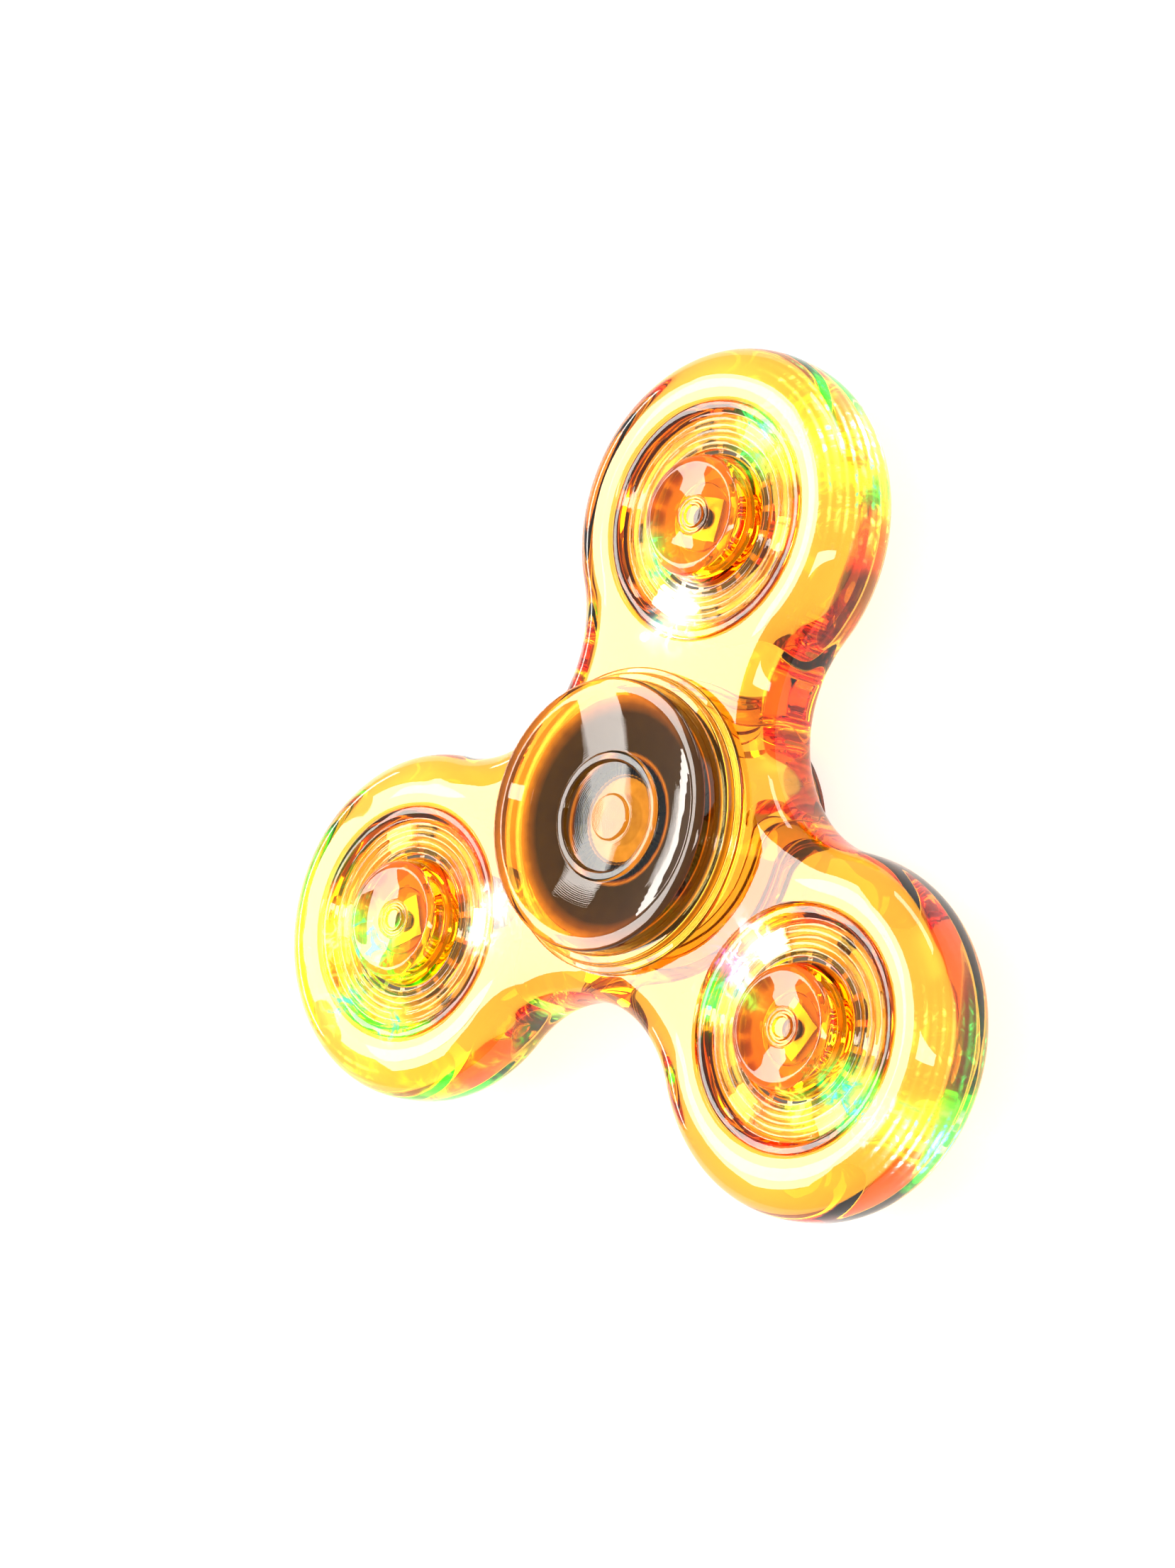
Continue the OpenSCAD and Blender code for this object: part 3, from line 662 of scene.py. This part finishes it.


# Painted shade: the bearing's inner ring and shields get a nearly black steel, so they look as dark as in the
# shade under the cap.
shade_darkened_bearing_steel = grained("bearing steel darkened as painted shade", (0.016, 0.013, 0.006), (0.006, 0.005, 0.002), 1.0, 0.25)
ring_steel = grained("bearing ring steel", (0.75, 0.6, 0.35), (0.5, 0.38, 0.2), 1.0, 0.15)
ball_steel = grained("bright ball steel", (0.9, 0.9, 0.9), (0.75, 0.75, 0.75), 1.0, 0.05)
cage_steel = grained("cage strip", (0.6, 0.56, 0.45), (0.4, 0.37, 0.3), 1.0, 0.3)
black_plastic_and_painted_shade = grained("black plastic and painted shade", (0.03, 0.028, 0.026), (0.015, 0.014, 0.013), 0.0, 0.35)
tinned = grained("tinned strip", (0.8, 0.8, 0.78), (0.6, 0.6, 0.58), 1.0, 0.25)
brass = grained("contact brass", (0.85, 0.66, 0.3), (0.65, 0.48, 0.2), 1.0, 0.25)
cell_steel = grained("cell steel", (0.75, 0.75, 0.74), (0.55, 0.55, 0.55), 1.0, 0.2)
epoxy = grained("black epoxy", (0.02, 0.02, 0.02), (0.01, 0.01, 0.01), 0.0, 0.1)
ceramic = grained("chip ceramic", (0.05, 0.05, 0.06), (0.02, 0.02, 0.03), 0.0, 0.3)
board = grained("pale circuit board", (0.55, 0.36, 0.10), (0.36, 0.2, 0.04), 0.0, 0.3, 500.0)

# %% [markdown]
# ## Second finishes on clear pieces
# The flange of a button is painted with short black blocks as painted shade: they stand in for the dark
# crescents at the button's edge. A second material on some of the faces gives clean blocks without a gap. A cap
# stands on the bearing, and the faces next to it are painted with the bearing's look in painted shade and with
# pale and gold rings of painted light, so no second mirror image of the lamp lies over them.

# %% Faces of a piece and their second finish
def face_middles(piece):
    """Middles of a piece's faces in mm."""
    middles = np.empty(3 * len(piece.data.polygons))
    piece.data.polygons.foreach_get("center", middles)
    return middles.reshape(-1, 3) / MM


def second_finish(piece, material, chosen):
    """Gives the chosen faces of a piece a second material."""
    piece.data.materials.append(material)
    piece.data.polygons.foreach_set("material_index", chosen.astype(np.int32))
    print(piece.name, "faces with", material.name + ":", int(chosen.sum()))


# %% Painted shade: dark blocks on the buttons
SKIRT_R, SKIRT_Z, SHADE_BLOCKS, SHADE_BLOCK_PART = 5.68, 3.03, 18, 0.7
for button, middle in buttons:
    place = face_middles(button)
    across = place[:, :2] - middle
    turn = np.arctan2(across[:, 1], across[:, 0]) / (2 * np.pi) * SHADE_BLOCKS
    on_flange = (np.hypot(*across.T) > SKIRT_R) & (place[:, 2] < SKIRT_Z)
    # Painted shade: black blocks round each button's flange stand in for the dark crescents at the button's
    # edge. The same black finish is the real colour of the switch plungers.
    second_finish(button, black_plastic_and_painted_shade, on_flange & (turn % 1 < SHADE_BLOCK_PART))


# %% Painted under a dish: the bearing's look in painted shade, with pale and gold rings of painted light, by their distance from the axis in mm
LIGHT_AND_SHADE_BANDS = ((0.0, (0.5, 0.48, 0.16)), (2.2, (0.5, 0.48, 0.16)), (2.4, (0.66, 0.64, 0.25)),
         (4.5, (0.62, 0.6, 0.22)), (4.7, (1.0, 0.85, 0.3)), (4.95, (0.30, 0.16, 0.03)),
         (5.6, (0.22, 0.12, 0.02)), (5.75, (0.65, 0.45, 0.10)), (6.0, (0.026, 0.026, 0.007)),
         (9.4, (0.036, 0.034, 0.009)), (10.2, (0.25, 0.16, 0.03)), (11.0, (0.8, 0.55, 0.1)))
BANDS_REACH = 13.0
DARKER, BAND_GLOSS, BAND_GRAIN = (0.45, 0.4, 0.35, 1), 0.35, 900.0


def banded(name, bands, reach):
    """Finish whose colour is a ramp of the distance from the axis, from 0 to reach mm, broken by the fine
    grain."""
    material, tree, shader, _ = new_material(name)
    place = add(tree, "ShaderNodeTexCoord")
    across = add(tree, "ShaderNodeVectorMath", {0: place.outputs["Object"]}, operation="MULTIPLY")
    across.inputs[1].default_value = (1 / (reach * MM), 1 / (reach * MM), 0.0)
    distance = add(tree, "ShaderNodeVectorMath", {0: across.outputs["Vector"]}, operation="LENGTH")
    ramp = add(tree, "ShaderNodeValToRGB", {"Fac": distance.outputs["Value"]})
    stops = ramp.color_ramp.elements
    while len(stops) < len(bands):
        stops.new(1.0)
    for stop, (radius, colour) in zip(stops, bands):
        stop.position = radius / reach
        stop.color = (*colour, 1)
    shade = add(tree, "ShaderNodeMix", {6: ramp.outputs["Color"]}, data_type="RGBA", blend_type="MULTIPLY")
    shade.inputs["Factor"].default_value = 1.0
    shade.inputs[7].default_value = DARKER
    surface = place_group(tree, grain, {"Light": ramp.outputs["Color"], "Dark": shade.outputs[2]},
                          Size=BAND_GRAIN, Gloss=BAND_GLOSS)
    tree.links.new(surface.outputs["Color"], shader.inputs["Base Color"])
    tree.links.new(surface.outputs["Roughness"], shader.inputs["Roughness"])
    shader.inputs["Specular IOR Level"].default_value = 0.1
    return material


# Painted light and shade: the near-black bands paint the bearing in shade under the cap, and the pale and gold
# rings paint light that comes through the sleeve and past the rim.
bearing_light_and_shade = banded("bearing light and shade painted under the cap", LIGHT_AND_SHADE_BANDS, BANDS_REACH)
for cap in (cap_front, cap_back):
    place = face_middles(cap)
    touching = (np.hypot(place[:, 0], place[:, 1]) < SEEN_R) & (np.abs(place[:, 2]) < SEEN_Z)
    second_finish(cap, bearing_light_and_shade, touching)

# %% [markdown]
# ## Lights
# Each light is a tiny white case with a clear lens on top. Its colour shows most in the lens, so the glow
# grows with height. A lamp object in each would be truer, but nine small lamps behind plastic would make
# the render noisy.

# %% The lights
LENS_FROM, LENS_TO, CASE_WHITE = 2.3, 2.9, (0.9, 0.9, 0.88, 1)


def lit(name, colour, strength):
    """White light case whose lens glows: the light grows with height from the case to the top of the
    lens."""
    material, tree, shader, _ = new_material(name)
    place = add(tree, "ShaderNodeTexCoord")
    split = add(tree, "ShaderNodeSeparateXYZ", {"Vector": place.outputs["Object"]})
    lens = add(tree, "ShaderNodeMapRange", {"Value": split.outputs["Z"]})
    lens.inputs["From Min"].default_value = LENS_FROM * MM
    lens.inputs["From Max"].default_value = LENS_TO * MM
    tinted = add(tree, "ShaderNodeVectorMath", operation="SCALE")
    tinted.inputs[0].default_value = colour
    tree.links.new(lens.outputs["Result"], tinted.inputs["Scale"])
    tree.links.new(tinted.outputs["Vector"], shader.inputs["Emission Color"])
    shader.inputs["Emission Strength"].default_value = strength
    shader.inputs["Base Color"].default_value = CASE_WHITE
    shader.inputs["Roughness"].default_value = 0.3
    return material


green_light = lit("green light", (0.1, 1.0, 0.2), 4.0)
red_light = lit("red light", (1.0, 0.12, 0.04), 4.0)
blue_light = lit("blue light", (0.55, 0.75, 1.0), 5.0)

# %% Give the CAD nodes their finish
FINISHES = {
    "bearing_outer_ring": ring_steel, "bearing_inner_ring": shade_darkened_bearing_steel,
    "bearing_shield": shade_darkened_bearing_steel, "bearing_balls": ball_steel, "bearing_cage": cage_steel,
    "switch_plunger": black_plastic_and_painted_shade, "switch_case": tinned, "circuit_board": board,
    "led_green": green_light, "led_red": red_light, "led_blue": blue_light, "controller_blob": epoxy,
    "chip_resistors": ceramic, "cell": cell_steel, "contact_plate": brass, "battery_clip": brass,
}
for start, finish in FINISHES.items():
    for name, node in NODES.items():
        if name.startswith(start):
            node.data.materials.clear()
            node.data.materials.append(finish)
print("finishes on CAD nodes:", len(FINISHES))

# %% [markdown]
# ## Floor and light
# A plain pale floor under the lower cap, a white surround, and large soft boxes. The key box stands where
# the flat face mirrors it into the camera, which lays the cream sheen over the clear body.

# %% Floor
FLOOR_GREY, FLOOR_GLOW, FLOOR_HALF = (0.40, 0.40, 0.40, 1), 0.72, 4
floor_z = CAD_BOX[0].z
floor_mesh = bpy.data.meshes.new("floor")
corners = [(FLOOR_HALF * x, FLOOR_HALF * y, floor_z) for x, y in ((-1, -1), (1, -1), (1, 1), (-1, 1))]
floor_mesh.from_pydata(corners, [], [(0, 1, 2, 3)])
floor = bpy.data.objects.new("floor", floor_mesh)
bpy.context.scene.collection.objects.link(floor)
floor_material, _, floor_shader, _ = new_material("pale floor")
floor_shader.inputs["Base Color"].default_value = FLOOR_GREY
floor_shader.inputs["Roughness"].default_value = 0.3
floor_shader.inputs["Emission Color"].default_value = (1, 1, 1, 1)
floor_shader.inputs["Emission Strength"].default_value = FLOOR_GLOW
floor_mesh.materials.append(floor_material)


# %% Soft boxes
LAMP_WHITE = (1.0, 0.96, 0.9)


def soft_box(name, place, size, power):
    """Rectangular lamp at place, facing the spinner."""
    lamp = bpy.data.lights.new(name, "AREA")
    lamp.shape = "RECTANGLE"
    lamp.size, lamp.size_y = size
    lamp.energy = power
    lamp.color = LAMP_WHITE
    box = bpy.data.objects.new(name, lamp)
    bpy.context.scene.collection.objects.link(box)
    box.location = place
    box.rotation_euler = Vector(place).to_track_quat("Z", "Y").to_euler()
    print(name, "at", place)


soft_box("key box", (-0.342, -0.045, 0.430), (0.50, 0.165), 3.0)
soft_box("top strip", (0.20, 0.0, 0.52), (0.05, 0.6), 1.3)
soft_box("far strip", (-0.56, 0.0, 0.14), (0.5, 0.05), 0.9)
soft_box("side box", (0.10, 0.55, 0.30), (0.4, 0.12), 1.4)

# %% White surround and light paths
# Light crosses many faces on its way through the clear pieces, so it may turn often before it is given up.
SURROUND, SURROUND_STRENGTH, TURNS_OF_LIGHT, CLEAR_TURNS = (1.0, 0.99, 0.97, 1), 0.55, 32, 20
world = bpy.data.worlds.new("white surround")
world.use_nodes = True
world.node_tree.nodes["Background"].inputs["Color"].default_value = SURROUND
world.node_tree.nodes["Background"].inputs["Strength"].default_value = SURROUND_STRENGTH
bpy.context.scene.world = world
bpy.context.scene.view_settings.view_transform = "Standard"
cycles = bpy.context.scene.cycles
cycles.max_bounces = TURNS_OF_LIGHT
cycles.transmission_bounces = TURNS_OF_LIGHT
cycles.transparent_max_bounces = CLEAR_TURNS
cycles.glossy_bounces = TURNS_OF_LIGHT
